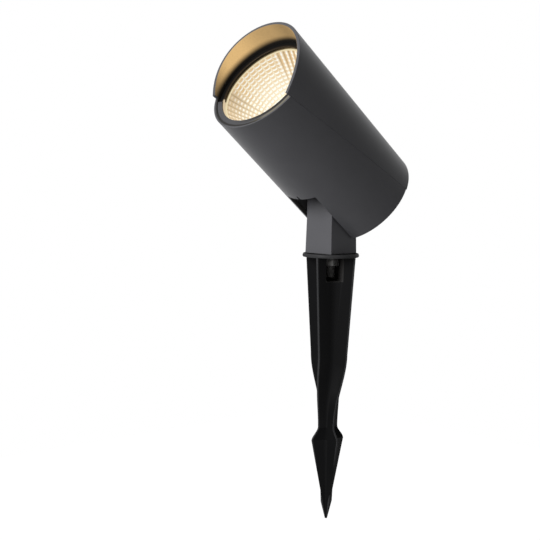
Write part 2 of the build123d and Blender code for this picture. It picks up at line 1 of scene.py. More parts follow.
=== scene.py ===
import json
import math

import bmesh
import bpy
from mathutils import Matrix, Vector


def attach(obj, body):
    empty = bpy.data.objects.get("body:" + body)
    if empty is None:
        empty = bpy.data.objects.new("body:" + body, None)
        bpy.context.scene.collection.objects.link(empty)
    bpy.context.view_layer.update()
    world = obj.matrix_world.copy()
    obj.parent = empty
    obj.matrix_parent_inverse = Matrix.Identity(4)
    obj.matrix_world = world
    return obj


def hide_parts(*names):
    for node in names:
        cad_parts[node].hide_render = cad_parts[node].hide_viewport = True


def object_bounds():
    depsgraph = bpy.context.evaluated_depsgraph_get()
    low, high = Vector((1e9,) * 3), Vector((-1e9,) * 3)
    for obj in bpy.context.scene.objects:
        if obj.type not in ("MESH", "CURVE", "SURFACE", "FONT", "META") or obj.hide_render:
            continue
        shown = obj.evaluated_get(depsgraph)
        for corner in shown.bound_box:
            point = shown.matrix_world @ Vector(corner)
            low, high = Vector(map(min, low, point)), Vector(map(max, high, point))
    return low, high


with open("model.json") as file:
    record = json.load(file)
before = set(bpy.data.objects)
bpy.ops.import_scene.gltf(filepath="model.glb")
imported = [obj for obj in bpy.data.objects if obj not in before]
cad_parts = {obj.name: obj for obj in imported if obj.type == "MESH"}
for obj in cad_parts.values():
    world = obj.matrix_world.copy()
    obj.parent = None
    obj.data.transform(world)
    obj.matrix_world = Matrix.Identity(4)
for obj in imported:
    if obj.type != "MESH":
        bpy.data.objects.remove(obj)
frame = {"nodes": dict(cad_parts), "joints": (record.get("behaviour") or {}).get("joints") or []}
cadLow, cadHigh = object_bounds()
nodes = frame["nodes"]
mm = 0.001
print("frame loaded,", len(nodes), "nodes")


# Head frame in millimetres: x across, y up from the tube's axis, z forward from the pivot
headSize = {"tilt": 38.0, "axisAbovePivot": 20.0, "radius": 38.0, "wall": 2.3}

tiltJoint = [j for j in frame["joints"] if j["name"] == "head_tilt"][0]
pivot = Vector(tiltJoint["pos_m"])
tilt = math.radians(headSize["tilt"])
forward = Vector((0, -math.cos(tilt), math.sin(tilt)))
upward = Vector((0, math.sin(tilt), math.cos(tilt)))
axisPoint = pivot + upward * headSize["axisAbovePivot"] * mm
headPlace = Matrix.Translation(axisPoint) @ Matrix((
    (1, 0, 0, 0),
    (0, upward.y, forward.y, 0),
    (0, upward.z, forward.z, 0),
    (0, 0, 0, 1),
)) @ Matrix.Scale(mm, 4)
plainPlace = Matrix.Scale(mm, 4)


# Shader maths: a socket that adds, subtracts, multiplies and divides
class Wire:
    def __init__(self, finish, socket):
        self.finish = finish
        self.socket = socket

    def calc(self, operation, first, second=0.0):
        return self.finish.add("ShaderNodeMath", {"operation": operation}, {0: first, 1: second})

    def __add__(self, other):
        return self.calc("ADD", self, other)

    def __radd__(self, other):
        return self.calc("ADD", other, self)

    def __sub__(self, other):
        return self.calc("SUBTRACT", self, other)

    def __rsub__(self, other):
        return self.calc("SUBTRACT", other, self)

    def __mul__(self, other):
        return self.calc("MULTIPLY", self, other)

    def __rmul__(self, other):
        return self.calc("MULTIPLY", other, self)

    def __truediv__(self, other):
        return self.calc("DIVIDE", self, other)

    def __pow__(self, other):
        return self.calc("POWER", self, other)

    def climb(self, kind, low, high):
        settings = {"interpolation_type": kind}
        return self.finish.add("ShaderNodeMapRange", settings, {0: self, 1: low, 2: high, 3: 0.0, 4: 1.0})

    def rise(self, low, high):  # 0 below low, 1 above high, smooth between
        return self.climb("SMOOTHSTEP", low, high)

    def ramp(self, low, high):  # 0 below low, 1 above high, straight between
        return self.climb("LINEAR", low, high)

    def between(self, low, high):  # low where this is 0, high where it is 1
        return low + (high - low) * self

    def bell(self, centre, width):  # 1 at the centre, falling off on both sides
        away = (self - centre) / width
        return self.calc("EXPONENT", away * away * -1.0)


class Finish:
    def __init__(self, owner):
        self.material = owner
        owner.use_nodes = True
        self.tree = owner.node_tree
        self.tree.nodes.clear()

    def add(self, kind, settings=None, inputs=None, output=0):
        node = self.tree.nodes.new(kind)
        for key, value in (settings or {}).items():
            setattr(node, key, value)
        for key, value in (inputs or {}).items():
            if isinstance(value, Wire):
                self.tree.links.new(value.socket, node.inputs[key])
            else:
                node.inputs[key].default_value = value
        return Wire(self, node.outputs[output]) if node.outputs else None

    def place(self):
        return self.add("ShaderNodeTexCoord", output="Object")

    def noise(self, scale, detail):
        values = {"Vector": self.place(), "Scale": scale, "Detail": detail}
        return self.add("ShaderNodeTexNoise", None, values)

    def blend(self, share, low, high):
        values = {0: share, 6: low, 7: high}
        return self.add("ShaderNodeMix", {"data_type": "RGBA"}, values, output=2)

    def dot(self, first, second):
        values = {0: first, 1: second}
        return self.add("ShaderNodeVectorMath", {"operation": "DOT_PRODUCT"}, values, output="Value")

    def bump(self, height, strength, depth):
        return self.add("ShaderNodeBump", None, {"Strength": strength, "Distance": depth, "Height": height})

    def surface(self, **values):
        named = {key.replace("_", " "): value for key, value in values.items()}
        shader = self.add("ShaderNodeBsdfPrincipled", None, named)
        self.add("ShaderNodeOutputMaterial", None, {"Surface": shader})
        return self.material

    def split(self, vector):
        x = self.add("ShaderNodeSeparateXYZ", None, {"Vector": vector})
        node = x.socket.node
        return x, Wire(self, node.outputs[1]), Wire(self, node.outputs[2])

    def headCoords(self):  # x, up and forward in millimetres from the tube's axis beside the pivot
        mapping = {
            "Vector": self.place(),
            "Location": headPlace.inverted().to_translation(),
            "Rotation": headPlace.inverted().to_euler(),
            "Scale": (1 / mm, 1 / mm, 1 / mm),
        }
        return self.split(self.add("ShaderNodeMapping", {"vector_type": "POINT"}, mapping))

    def seen(self):  # 1 where the background shows: straight on, mirrored or through glass
        rays = ("Is Camera Ray", "Is Glossy Ray", "Is Transmission Ray")
        straight, mirrored, through = [self.add("ShaderNodeLightPath", output=ray) for ray in rays]
        return straight + mirrored + through


def newFinish(name):
    return Finish(bpy.data.materials.new(name))


def grey(level):
    return (level, level, level, 1)


def shades(colour, spread):  # a darker and a paler version of one colour
    return [tuple(c * share for c in colour) + (1,) for share in spread]


def fromAxis(x, y):
    return (x * x + y * y) ** 0.5


black = grey(0.0)


# Powder coat of the shells, the post and the cover
coatLook = {
    "colour": (0.0577, 0.0576, 0.0622), "spread": (0.92, 1.08), "rough": (0.31, 0.41), "gloss": 0.1,
    "cloud": (45.0, 3.0), "grain": (2600.0, 2.0), "bump": (0.25, 0.00003), "shaded": (0.012, 0.011, 0.01, 1),
}


def coatFinish(name, colour=coatLook["colour"], glow=None, shade=None):
    look = newFinish(name)
    cloud = look.noise(*coatLook["cloud"])
    grain = look.noise(*coatLook["grain"])
    tone = look.blend(cloud, *shades(colour, coatLook["spread"]))
    # Painted shade: the base colour goes dark where the shade mask is 1
    if shade:
        tone = look.blend(shade(look), tone, coatLook["shaded"])
    values = {
        "Base_Color": tone,
        "Roughness": grain.between(*coatLook["rough"]),
        "Specular_IOR_Level": coatLook["gloss"],
        "Normal": look.bump(grain, *coatLook["bump"]),
    }
    # Painted lamp light, given as emission
    if glow:
        values["Emission_Color"] = glow(look)
        values["Emission_Strength"] = 1.0
    return look.surface(**values)


# Painted warm light that the lamp throws on the inside of the visor, weaker near the seam, the top and the
# right
glowLook = {
    "paintedLampLight": (0.73, 0.47, 0.195, 1), "inside": (35.8, 36.0), "along": (100.0, 105.5),
    "seam": (-14.0, 14.0), "seamShare": 0.25, "top": (20.0, 37.0), "topShare": 0.6,
    "right": (-8.0, 8.0), "rightShare": 0.7, "patch": (1300.0, 2.0), "patchShare": (0.76, 1.24),
}


# Inside wall of the visor: mask for its painted shade in coatFinish and its painted light in visorGlow
def visorInside(look):
    x, up = look.headCoords()[:2]
    return 1.0 - fromAxis(x, up).rise(*glowLook["inside"])


def visorGlow(look):
    x, up, ahead = look.headCoords()
    along = ahead.rise(*glowLook["along"])
    seam = up.rise(*glowLook["seam"]).between(glowLook["seamShare"], 1.0)
    top = up.rise(*glowLook["top"]).between(1.0, glowLook["topShare"])
    right = x.rise(*glowLook["right"]).between(1.0, glowLook["rightShare"])
    patch = look.noise(*glowLook["patch"]).between(*glowLook["patchShare"])
    share = visorInside(look) * along * seam * top * right * patch
    return look.blend(share, black, glowLook["paintedLampLight"])


# Rim and flange of the lower shell: painted lamp light as an olive line on the right; painted shade beside
# it, in the corner, on the left flange and in the hollow
rimLook = {
    "front": (98.0, 99.6), "right": (-6.0, 26.0),
    "paintedLampLight": (0.1, 0.078, 0.018, 1), "goldIn": (34.2, 35.0), "goldOut": (36.4, 37.0),
    "goldRight": (10.0, 26.0),
    "corner": 36.1, "cornerWidth": 0.65, "cornerDark": 1.8, "cornerEnd": (17.0, 22.0),
    "beside": (33.8, 34.6), "flange": (35.4, 35.9), "flangeDark": 0.34,
    "hollowOut": (37.3, 37.7), "hollowFront": (96.0, 98.0),
}


# Painted lamp light: an olive band on the right of the rim
def rimGlow(look):
    x, up, ahead = look.headCoords()
    around = fromAxis(x, up)
    band = around.rise(*rimLook["goldIn"]) * (1.0 - around.rise(*rimLook["goldOut"]))
    share = band * ahead.rise(*rimLook["front"]) * x.rise(*rimLook["goldRight"])
    return look.blend(share, black, rimLook["paintedLampLight"])


# Painted shade in the hollow, in the corner, beside the lamp and on the left flange
def rimShade(look):
    x, up, ahead = look.headCoords()
    around = fromAxis(x, up)
    right = x.rise(*rimLook["right"])
    hollow = (1.0 - around.rise(*rimLook["hollowOut"])) * (1.0 - ahead.rise(*rimLook["hollowFront"]))
    corner = around.bell(rimLook["corner"], rimLook["cornerWidth"]) * rimLook["cornerDark"]
    corner = corner * (1.0 - x.rise(*rimLook["cornerEnd"]))
    beside = (1.0 - around.rise(*rimLook["beside"])) * right
    flange = rimLook["flangeDark"] * (1.0 - right) * (1.0 - around.rise(*rimLook["flange"]))
    return hollow + ahead.rise(*rimLook["front"]) * (corner + beside + flange)


# Inner wall of the bezel: painted lamp light, brown above the seam, pale below it
bezelLook = {
    "colour": (0.004, 0.004, 0.004), "brown": (0.022, 0.013, 0.005, 1), "pale": (0.72, 0.57, 0.37, 1),
    "inner": (31.5, 33.0), "front": (96.0, 98.0), "paleEnd": (-13.6, -11.8),
}


def belowSeam(up):
    return 1.0 - up.rise(*bezelLook["paleEnd"])


def bezelGlow(look):
    x, up, ahead = look.headCoords()
    inner = 1.0 - fromAxis(x, up).rise(*bezelLook["inner"])
    tone = look.blend(belowSeam(up), bezelLook["brown"], bezelLook["pale"])
    return look.blend(inner * ahead.rise(*bezelLook["front"]), black, tone)


# Moulded plastics, rubber and boards
plasticLook = {
    "spread": (0.8, 1.25), "roughSide": 0.06, "gloss": 0.05,
    "flow": (55.0, 4.0), "grain": (1500.0, 3.0), "bump": (0.2, 0.00004),
}


def plasticFinish(name, colour, rough):
    look = newFinish(name)
    flow = look.noise(*plasticLook["flow"])
    grain = look.noise(*plasticLook["grain"])
    return look.surface(
        Base_Color=look.blend(flow, *shades(colour, plasticLook["spread"])),
        Roughness=flow.between(rough - plasticLook["roughSide"], rough + plasticLook["roughSide"]),
        Specular_IOR_Level=plasticLook["gloss"],
        Normal=look.bump(grain, *plasticLook["bump"]),
    )


# Spike: painted highlight on the outer edges of the blades and the collar rim, matt ledges, one matt side,
# painted light in the pocket
spikeLook = {
    "colour": (0.0028, 0.0028, 0.003), "paintedSheen": (0.024, 0.024, 0.025, 1), "paintedPocketLight": (0.022, 0.021, 0.0205, 1),
    "rough": (0.5, 0.62), "edgeSheen": (0.955, 0.985), "edgeSheenShare": (0.75, 1.25),
    "reach": ((0.0, 19.1), (67.0, 14.2), (118.0, 7.7), (127.2, 12.8), (167.0, 4.5), (183.2, 0.8)),
    "curved": (67.0, 118.0),
    "pocketTurn": -29.6, "pocketHalf": 6.1, "pocketSoft": 1.5, "pocketBack": (-6.3, -6.1),
    "pocketTop": (0.0, 0.2), "pocketFoot": (16.7, 16.8),
    "ledgeTilt": (0.02, 0.12), "ledgeDepth": (60.0, 70.0), "flatTilt": (0.75, 0.95), "ledgeRough": 0.5,
    "collarFoot": (-0.5, 0.0), "collarRough": -0.1,
    "mattSide": (-0.208, -0.978, 0.0), "sideTilt": (0.8, 0.95), "sideRough": 0.5,
}


def bladeReach(depth):  # how far the blades stand out at each depth below the collar
    stations = spikeLook["reach"]
    reach = stations[0][1]
    for (start, before), (end, after) in zip(stations, stations[1:]):
        climb = depth.rise if start in spikeLook["curved"] else depth.ramp
        reach = reach + (after - before) * climb(start, end)
    return reach


def spikeFinish(name):
    look = newFinish(name)
    s = spikeLook
    scaled = look.add("ShaderNodeVectorMath", {"operation": "SCALE"}, {0: look.place(), "Scale": 1 / mm})
    x, y, z = look.split(scaled)
    depth = z * -1.0
    flow = look.noise(*plasticLook["flow"])
    grain = look.noise(*plasticLook["grain"])
    # Painted highlight: paler base colour near the outer edges of the blades and the collar rim
    edgeSheen = (fromAxis(x, y) / bladeReach(depth)).rise(*s["edgeSheen"]) * flow.between(*s["edgeSheenShare"])
    turn = math.radians(s["pocketTurn"])
    across = y * math.cos(turn) - x * math.sin(turn)
    along = x * math.cos(turn) + y * math.sin(turn)
    wall = s["pocketHalf"]**2
    # Painted light: the pocket's walls and floor made paler
    pocket = (1.0 - (across * across).rise(wall, wall + s["pocketSoft"])) * along.rise(*s["pocketBack"])
    pocket = pocket * depth.rise(*s["pocketTop"]) * (1.0 - depth.rise(*s["pocketFoot"]))
    normal = look.add("ShaderNodeNewGeometry", output="Normal")
    facing = look.split(normal)[2]
    ledge = facing.rise(*s["ledgeTilt"]) * depth.rise(*s["ledgeDepth"]) + facing.rise(*s["flatTilt"])
    collar = 1.0 - depth.rise(*s["collarFoot"])
    side = look.dot(normal, s["mattSide"]).rise(*s["sideTilt"])
    tone = look.blend(flow, *shades(s["colour"], plasticLook["spread"]))
    tone = look.blend(edgeSheen, tone, s["paintedSheen"])
    rough = flow.between(*s["rough"]) + s["ledgeRough"] * ledge + s["collarRough"] * collar
    return look.surface(
        Base_Color=look.blend(pocket, tone, s["paintedPocketLight"]),
        Roughness=rough + s["sideRough"] * side,
        Specular_IOR_Level=plasticLook["gloss"],
        Normal=look.bump(grain, *plasticLook["bump"]),
    )


# Zinc plated steel
steelLook = {
    "colour": (0.34, 0.34, 0.33), "spread": (0.8, 1.0), "rough": (0.27, 0.47),
    "cloud": (300.0, 4.0), "bump": (0.1, 0.00003),
}


def steelFinish(name, colour=steelLook["colour"], metal=1.0):
    look = newFinish(name)
    cloud = look.noise(*steelLook["cloud"])
    return look.surface(
        Base_Color=look.blend(cloud, *shades(colour, steelLook["spread"])),
        Metallic=metal,
        Roughness=cloud.between(*steelLook["rough"]),
        Normal=look.bump(cloud, *steelLook["bump"]),
    )


# Dark casting inside the head
castLook = {
    "colour": (0.02, 0.02, 0.021), "spread": (0.75, 1.2), "rough": (0.5, 0.7),
    "pits": (700.0, 5.0), "bump": (0.3, 0.00005),
}


def castFinish(name):
    look = newFinish(name)
    pits = look.noise(*castLook["pits"])
    return look.surface(
        Base_Color=look.blend(pits, *shades(castLook["colour"], castLook["spread"])),
        Roughness=pits.between(*castLook["rough"]),
        Normal=look.bump(pits, *castLook["bump"]),
    )


# Mirror of the reflector, with the lamp's light and its reflections in the cells painted as emission
mirrorLook = {
    "columns": 40, "rings": 14, "back": 62.5, "front": 95.6, "throat": 9.8, "mouth": 31.45, "cells": 0.985,
    "amber": (0.71, 0.455, 0.215, 1), "sand": (0.64, 0.475, 0.295, 1), "cream": (0.95, 0.81, 0.6, 1),
    "white": (1.0, 0.985, 0.93, 1), "lip": (0.9, 0.76, 0.5, 1),
    "paleLine": (0.95, 0.86, 0.66, 1), "darkLine": (0.3, 0.22, 0.14, 1),
    "metal": (0.22, 0.2, 0.16, 1), "rough": (0.2, 0.3), "lipStart": (0.998, 1.004),
}

# Painted highlights in one cell: u across and v along it, from 0 to 1
cellLook = {
    "low": (-0.15, 0.05), "side": (-0.5, -0.3), "sideUp": (0.0, 0.2), "deep": (0.25, 0.95), "ringShift": 8.0,
    "left": (0.05, 0.17), "right": (0.83, 0.95), "middle": 0.5,
    "crescentBend": 0.9, "crescentAlong": 0.24, "crescentWidth": (0.19, 0.29),
    "dotAcross": (0.5, 0.25), "dotAlong": (0.45, 0.25), "dotFade": (0.62, 0.95), "dotFaint": 0.4,
    "stripeAcross": (0.42, 0.2), "stripeAlong": (0.3, 0.3), "stripeShare": 0.6, "stripeDeep": 0.2,
    "creamShare": 0.66, "markGain": (0.85, 1.2), "markFull": (0.0, 0.75),
    "jitter": (260.0, 2.0), "jitterShare": (-0.12, 0.18), "lineShare": (0.45, 1.0), "lineDeep": 0.35,
}


def mirrorFinish(name):
    look = newFinish(name)
    m, c = mirrorLook, cellLook
    x, up, ahead = look.headCoords()
    turn = look.add("ShaderNodeMath", {"operation": "ARCTAN2"}, {0: up, 1: x})
    column = turn * (m["columns"] / (2 * math.pi)) + m["columns"]
    depth = (ahead - m["back"]) / (m["cells"] * (m["front"] - m["back"]))
    u = look.add("ShaderNodeMath", {"operation": "FRACT"}, {0: column})
    v = look.add("ShaderNodeMath", {"operation": "FRACT"}, {0: depth * m["rings"] + c["ringShift"]})
    number = look.add("ShaderNodeMath", {"operation": "FLOOR"}, {0: column})
    chance = look.add("ShaderNodeTexWhiteNoise", {"noise_dimensions": "1D"}, {"W": number})
    jitter = look.noise(*c["jitter"])
    around = fromAxis(x, up)
    low = 1.0 - (up / around).rise(*c["low"])
    side = (x / around).rise(*c["side"]) * (up / around).rise(*c["sideUp"])
    deep = 1.0 - depth.rise(*c["deep"])

    # Painted highlights: crescents above, dots below, stripes on the right
    bend = (u - c["middle"]) * (u - c["middle"])
    inside = u.rise(*c["left"]) * (1.0 - u.rise(*c["right"]))
    crescent = (v - bend * c["crescentBend"]).bell(c["crescentAlong"], deep.between(*c["crescentWidth"]))
    crescent = inside * crescent
    dot = u.bell(*c["dotAcross"]) * v.bell(*c["dotAlong"])
    dot = dot * depth.rise(*c["dotFade"]).between(1.0, c["dotFaint"])
    stripe = u.bell(*c["stripeAcross"]) * v.bell(*c["stripeAlong"]).between(c["stripeShare"], 1.0)
    mark = crescent + low * (dot - crescent)
    mark = mark + side * deep.between(1.0, c["stripeDeep"]) * (stripe - mark)
    mark = mark * deep.between(*c["markGain"]) + jitter.between(*c["jitterShare"])

    # Painted lamp light: ground colour, then the highlights, then the lines between the columns
    ground = look.blend(low, m["amber"], m["sand"])
    ground = look.blend(deep * c["creamShare"], ground, m["cream"])
    lit = look.blend(mark.rise(*c["markFull"]), ground, m["white"])
    line = look.blend(low + side, m["paleLine"], m["darkLine"])
    lineShare = (1.0 - inside) * chance.between(*c["lineShare"]) * deep.between(1.0, c["lineDeep"])
    lit = look.blend(lineShare, lit, line)
    return look.surface(
        Base_Color=m["metal"],
        Metallic=1.0,
        Roughness=jitter.between(*m["rough"]),
        Emission_Color=look.blend(depth.rise(*m["lipStart"]), lit, m["lip"]),
        Emission_Strength=1.0,
    )


# Silicone seal behind the glass, with painted light from the lamp inside
sealLook = {
    "base": (0.1, 0.08, 0.06, 1), "rough": 0.5,
    "dark": (0.012, 0.006, 0.003, 1), "brown": (0.11, 0.07, 0.024, 1),
    "inner": (32.4, 33.9), "cloud": (200.0, 2.0), "cloudShare": (0.8, 1.2),
}


def sealFinish(name):
    look = newFinish(name)
    x, up = look.headCoords()[:2]
    inner = 1.0 - fromAxis(x, up).rise(*sealLook["inner"])
    cloud = look.noise(*sealLook["cloud"]).between(*sealLook["cloudShare"])
    tone = look.blend(inner * cloud, sealLook["dark"], sealLook["brown"])
    return look.surface(
        Base_Color=sealLook["base"],
        Roughness=sealLook["rough"],
        Emission_Color=look.blend(belowSeam(up), tone, bezelLook["pale"]),
        Emission_Strength=1.0,
    )


glassLook = {
    "ior": 1.45, "tint": (0.97, 0.98, 0.97, 1), "body": (0.02, 0.025, 0.022, 1), "rough": (0.02, 0.05),
    "smear": (60.0, 2.0),
}


def glassFinish(name):
    look = newFinish(name)
    smear = look.noise(*glassLook["smear"])
    edge = look.add("ShaderNodeFresnel", None, {"IOR": glassLook["ior"]})
    inside = look.add("ShaderNodeNewGeometry", output="Backfacing")
    clear = look.add("ShaderNodeBsdfTransparent", None, {"Color": glassLook["tint"]})
    gloss = look.add("ShaderNodeBsdfPrincipled", None, {
        "Base Color": glassLook["body"],
        "Roughness": smear.between(*glassLook["rough"]),
    })
    mixed = look.add("ShaderNodeMixShader", None, {0: edge * (1.0 - inside), 1: clear, 2: gloss})
    look.add("ShaderNodeOutputMaterial", None, {"Surface": mixed})
    return look.material


phosphorLook = {
    "base": (0.8, 0.65, 0.25, 1), "rough": 0.4, "scale": 900.0, "dots": (0.1, 0.6),
    "pale": (1.0, 0.93, 0.75, 1), "deep": (1.0, 0.84, 0.5, 1), "strength": 1.5,
}


def phosphorFinish(name):
    look = newFinish(name)
    dots = look.add("ShaderNodeTexVoronoi", None, {"Vector": look.place(), "Scale": phosphorLook["scale"]})
    share = dots.rise(*phosphorLook["dots"])
    return look.surface(
        Base_Color=phosphorLook["base"],
        Roughness=phosphorLook["rough"],
        Emission_Color=look.blend(share, phosphorLook["pale"], phosphorLook["deep"]),
        Emission_Strength=phosphorLook["strength"],
    )


finishes = {
    "coat": coatFinish("anthraciteCoat"),
    "visorCoatPaintedLightShade": coatFinish("visorCoatPaintedLightShade", glow=visorGlow, shade=visorInside),
    "rimCoatPaintedLightShade": coatFinish("rimCoatPaintedLightShade", glow=rimGlow, shade=rimShade),
    "bezel": coatFinish("bezelBlackPaintedLight", bezelLook["colour"], glow=bezelGlow),
    "litSeal": sealFinish("litSilicone"),
    "plastic": spikeFinish("spikePlasticPaintedLight"),
    "nylon": plasticFinish("glandNylon", (0.018, 0.018, 0.019), 0.45),
    "whiteNylon": plasticFinish("whiteNylon", (0.72, 0.71, 0.68), 0.5),
    "rubber": plasticFinish("sealRubber", (0.02, 0.02, 0.02), 0.7),
    "pad": plasticFinish("padGrey", (0.3, 0.3, 0.32), 0.75),
    "board": plasticFinish("boardGreen", (0.04, 0.18, 0.08), 0.4),
    "ledBoard": plasticFinish("ledBoardWhite", (0.75, 0.75, 0.73), 0.35),
    "lead": plasticFinish("leadRed", (0.4, 0.03, 0.03), 0.5),
    "tape": plasticFinish("coilTape", (0.65, 0.5, 0.1), 0.4),
    "sleeve": plasticFinish("capacitorSleeve", (0.025, 0.025, 0.03), 0.3),
    "steel": steelFinish("zincSteel"),
    "dullSteel": steelFinish("dullZinc", (0.15, 0.147, 0.142), metal=0.3),
    "cast": castFinish("darkCasting"),
    "mirror": mirrorFinish("litMirror"),
    "glass": glassFinish("clearGlass"),
    "phosphor": phosphorFinish("phosphor"),
}
print("finishes made,", len(finishes))


# Small tools for the meshes; lengths in millimetres, copyMerge in metres
toolSize = {
    "merge": 0.0005, "copyMerge": 1e-6, "flat": math.radians(0.5), "sharp": math.radians(35), "bevelSteps": 3,
}


def spinFull(bm, geom, steps):
    bmesh.ops.spin(
        bm, geom=geom, cent=(0, 0, 0), axis=(0, 0, 1), angle=2 * math.pi, steps=steps, use_merge=True,
    )
    bmesh.ops.remove_doubles(bm, verts=bm.verts, dist=toolSize["merge"])


def spinProfile(points, steps):
    bm = bmesh.new()
    verts = [bm.verts.new((r, 0, z)) for r, z in points]
    edges = [bm.edges.new(pair) for pair in zip(verts, verts[1:] + verts[:1])]
    spinFull(bm, verts + edges, steps)
    return bm


def pushFaces(bm, faces, step):
    grown = bmesh.ops.extrude_face_region(bm, geom=faces)["geom"]
    moved = [g for g in grown if isinstance(g, bmesh.types.BMVert)]
    bmesh.ops.translate(bm, verts=moved, vec=step)


def ringPrism(outerSides, outerRadius, innerSides, innerRadius, low, high, centre=(0, 0), turn=0.0):
    bm = bmesh.new()
    outer = bmesh.ops.create_circle(bm, segments=outerSides, radius=outerRadius)["verts"]
    bmesh.ops.rotate(bm, verts=outer, matrix=Matrix.Rotation(turn, 3, "Z"))
    bmesh.ops.create_circle(bm, segments=innerSides, radius=innerRadius)
    made = bmesh.ops.bridge_loops(bm, edges=bm.edges[:])
    bmesh.ops.translate(bm, verts=bm.verts, vec=(centre[0], centre[1], low))
    pushFaces(bm, made["faces"], (0, 0, high - low))
    return bm


def roundRod(sides, radius, low, high, centre=(0, 0)):
    bm = bmesh.new()
    bmesh.ops.create_circle(bm, cap_ends=True, segments=sides, radius=radius)
    bmesh.ops.translate(bm, verts=bm.verts, vec=(centre[0], centre[1], low))
    pushFaces(bm, bm.faces[:], (0, 0, high - low))
    return bm


def joinInto(bm, other):
    mesh = bpy.data.meshes.new("joined")
    other.to_mesh(mesh)
    other.free()
    bm.from_mesh(mesh)
    bpy.data.meshes.remove(mesh)


def isSharp(edge):
    return len(edge.link_faces) == 2 and edge.calc_face_angle() > toolSize["sharp"]


def softenEdges(bm, width, segments=2):
    bmesh.ops.recalc_face_normals(bm, faces=bm.faces)
    sharp = [e for e in bm.edges if isSharp(e)]
    bmesh.ops.bevel(
        bm, geom=sharp, offset=width, segments=segments, profile=0.5, affect="EDGES", material=-1,
        clamp_overlap=True,
    )


def finishPiece(bm, name, finish, body, stands, place=plainPlace,
                soft=0.0, smooth=40.0, weighted=False):
    bmesh.ops.recalc_face_normals(bm, faces=bm.faces)
    bmesh.ops.transform(bm, matrix=place, verts=bm.verts)
    mesh = bpy.data.meshes.new(name)
    bm.to_mesh(mesh)
    bm.free()
    mesh.shade_smooth()
    mesh.set_sharp_from_angle(angle=math.radians(smooth))
    piece = bpy.data.objects.new(name, mesh)
    bpy.context.scene.collection.objects.link(piece)
    mesh.materials.append(finishes[finish])
    if soft:
        bevel = piece.modifiers.new("soft", "BEVEL")
        bevel.width = soft * mm
        bevel.segments = toolSize["bevelSteps"]
        bevel.limit_method = "WEIGHT" if weighted else "ANGLE"
        bevel.angle_limit = toolSize["sharp"]
        bevel.harden_normals = True
    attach(piece, body)
    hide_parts(*stands)


def copyOfNode(node):
    bm = bmesh.new()
    bm.from_mesh(nodes[node].data)
    bmesh.ops.remove_doubles(bm, verts=bm.verts, dist=toolSize["copyMerge"])
    bmesh.ops.dissolve_limit(bm, angle_limit=toolSize["flat"], verts=bm.verts, edges=bm.edges)
    return bm


# Tube shells: thin sheets cut to shape, then given their wall and soft edges
shellSize = {
    "steps": 160, "lowerBack": -21.5, "lowerFront": 100.3, "visorBack": -22.4, "trim": 0.05,
    "reachTop": 15.0, "reachSeam": 3.5, "peakAbove": 1.0, "bow": 2.2,
    "seamFront": -13.3, "seamBack": 7.8, "seamGap": 0.12, "seamNear": 0.02,
    "slotWidth": 26.8, "slotFront": 25.1, "slotCorner": 1.2, "cornerSteps": 4, "cornerNear": 0.01,
    "slitWidth": 1.4, "slitLength": 3.0, "soft": 0.45, "seamSoft": 0.7, "seamCrisp": 0.2,
    "flangeSides": 128, "flangeBore": 31.8, "flangeBack": 98.9, "flangeFront": 99.9, "flangeSlant": 0.08,
}


def seamHeight(station):
    length = shellSize["lowerFront"] - shellSize["lowerBack"]
    slope = (shellSize["seamFront"] - shellSize["seamBack"]) / length
    return shellSize["seamBack"] + slope * (station - shellSize["lowerBack"])


def tubeSheet():
    bm = bmesh.new()
    ends = [bm.verts.new((headSize["radius"], 0, z)) for z in (0, 1)]
    edge = bm.edges.new(ends)
    spinFull(bm, ends + [edge], shellSize["steps"])
    bmesh.ops.recalc_face_normals(bm, faces=bm.faces)
    return bm


def cutSheet(bm, point, normal, clear=False, faces=None):
    picked = faces or bm.faces[:]
    geom = set(picked)
    for face in picked:
        geom.update(face.verts)
        geom.update(face.edges)
    bmesh.ops.bisect_plane(
        bm, geom=list(geom), dist=toolSize["merge"], plane_co=point, plane_no=normal, clear_inner=clear,
    )


def visorFront(height):  # bowed edge, an arc through foot, middle and peak
    foot = shellSize["lowerFront"] + shellSize["reachSeam"]
    tip = shellSize["lowerFront"] + shellSize["reachTop"]
    low = seamHeight(foot) + shellSize["seamGap"] / 2
    chord = Vector((tip - foot, headSize["radius"] + shellSize["peakAbove"] - low))
    middle = Vector((chord.x / 2 + shellSize["bow"], chord.y / 2))
    bend = chord.x * middle.y - chord.y * middle.x
    centre = Vector((
        (chord.length_squared * middle.y - middle.length_squared * chord.y) / (2 * bend),
        (middle.length_squared * chord.x - chord.length_squared * middle.x) / (2 * bend),
    ))
    rise = max(height, low) - low - centre.y
    return foot + centre.x + math.sqrt(centre.length_squared - rise**2) - shellSize["trim"]


def seamPlane(side):  # 1 for the visor above the seam, -1 for the shell below it
    back = Vector((0, seamHeight(shellSize["lowerBack"]), shellSize["lowerBack"]))
    front = Vector((0, seamHeight(shellSize["lowerFront"]), shellSize["lowerFront"]))
    normal = Vector((1, 0, 0)).cross(front - back).normalized()
    if normal.y < 0:
        normal.negate()
    return back + normal * side * shellSize["seamGap"] / 2, normal * side


def thicken(bm):
    bmesh.ops.recalc_face_normals(bm, faces=bm.faces)
    bmesh.ops.solidify(bm, geom=bm.faces[:], thickness=headSize["wall"])


def weighEdges(bm, point, normal, soft):  # seam edges stay crisper than the rims
    bmesh.ops.recalc_face_normals(bm, faces=bm.faces)
    weights = bm.edges.layers.float.new("bevel_weight_edge")
    for edge in bm.edges:
        if isSharp(edge):
            atSeam = all(abs((v.co - point).dot(normal)) < shellSize["seamNear"] for v in edge.verts)
            edge[weights] = soft if atSeam else 1.0


